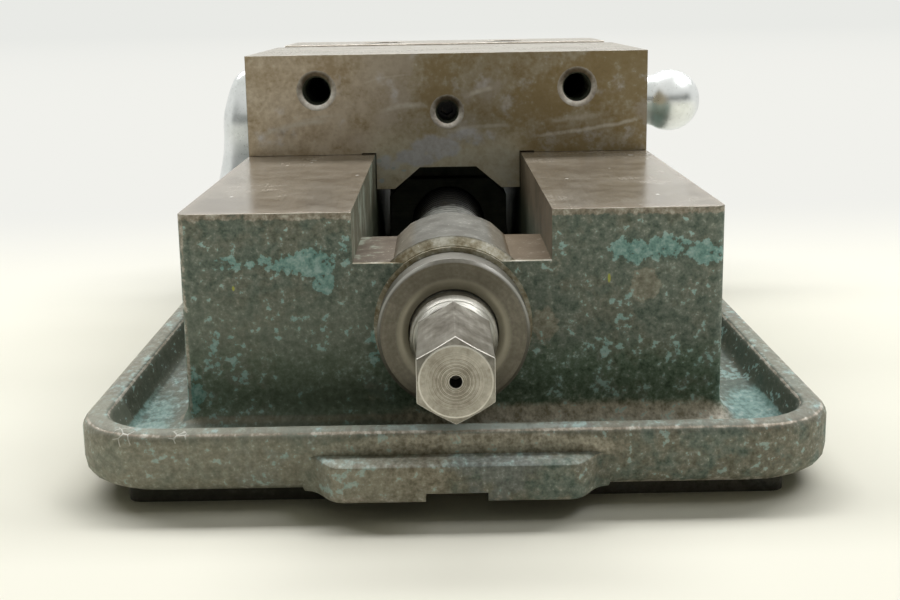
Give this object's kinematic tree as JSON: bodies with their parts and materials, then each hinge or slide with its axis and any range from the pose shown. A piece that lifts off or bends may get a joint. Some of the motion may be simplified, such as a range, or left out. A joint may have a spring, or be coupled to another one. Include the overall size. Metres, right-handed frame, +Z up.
{
  "type": "milling machine vise",
  "caption": "Milling machine vise with a flanged cast bed, two plated jaws, an angle-lock nut on a lead screw with a hexagon end, and a loose ball handle.",
  "frame": {"origin": "middle of the base's underside", "axes": "+X to the operator's right, +Y from the screw end to the fixed jaw, +Z up"},
  "size_m": [0.2288, 0.4486, 0.1108],
  "materials": {
    "painted_iron": "worn dark green-grey paint over grey iron, with turquoise patches",
    "brown_steel": "ground steel with a brown patina and pale scratches",
    "ground_steel": "ground",
    "dark_steel": "dark turned steel",
    "bright_steel": "bright turned steel",
    "black_screw": "black oxide",
    "bronze": "turned",
    "chrome": "polished"
  },
  "bodies": {
    "bed": {"bed_casting": "painted_iron", "fixed_jaw": "brown_steel", "fixed_jaw_plate": "ground_steel", "fixed_plate_screw_left": "black_screw", "fixed_plate_screw_right": "black_screw", "fixed_jaw_bolt_left": "black_screw", "fixed_jaw_bolt_right": "black_screw", "fixed_jaw_key": "ground_steel", "screw_bush": "bronze", "thrust_race_front": "bright_steel"},
    "jaw": {"movable_jaw": "brown_steel", "movable_jaw_plate": "ground_steel", "movable_plate_screw_left": "black_screw", "movable_plate_screw_right": "black_screw", "lock_nut": "dark_steel", "lock_half_ball": "bright_steel", "jaw_set_screw": "black_screw"},
    "screw": {"lead_screw": "bright_steel", "front_collar": "dark_steel", "collar_grub_screw": "black_screw", "screw_stop_ring": "dark_steel", "thrust_race_rear": "bright_steel"},
    "rollers": {"roller_cage": "bronze", "thrust_roller_01": "bright_steel", "thrust_roller_02": "bright_steel", "thrust_roller_03": "bright_steel", "thrust_roller_04": "bright_steel", "thrust_roller_05": "bright_steel", "thrust_roller_06": "bright_steel", "thrust_roller_07": "bright_steel", "thrust_roller_08": "bright_steel", "thrust_roller_09": "bright_steel", "thrust_roller_10": "bright_steel", "thrust_roller_11": "bright_steel", "thrust_roller_12": "bright_steel"},
    "handle": {"handle_hub": "chrome", "handle_arm": "chrome"}
  },
  "joints": [
    {"name": "jaw_slide", "type": "slide", "parent": "bed", "child": "jaw", "axis": [0, 1, 0], "range_m": [-0.12, 0.0065]},
    {"name": "screw_turn", "type": "hinge", "parent": "bed", "child": "screw", "pos_m": [0, 0, 0.0406], "axis": [0, 1, 0], "range_deg": [-8504.4, 461.1]},
    {"name": "roller_roll", "type": "hinge", "parent": "bed", "child": "rollers", "pos_m": [0, 0, 0.0406], "axis": [0, 1, 0], "range_deg": [-4253, 231.3]},
    {"name": "handle_lift", "type": "slide", "parent": "bed", "child": "handle", "axis": [0, 0, 1], "range_m": [0, 0.12]}
  ],
  "couplings": [
    {"joint": "screw_turn", "follows": "jaw_slide", "rad_per_m": 1236.8},
    {"joint": "roller_roll", "follows": "jaw_slide", "rad_per_m": 618.42}
  ]
}
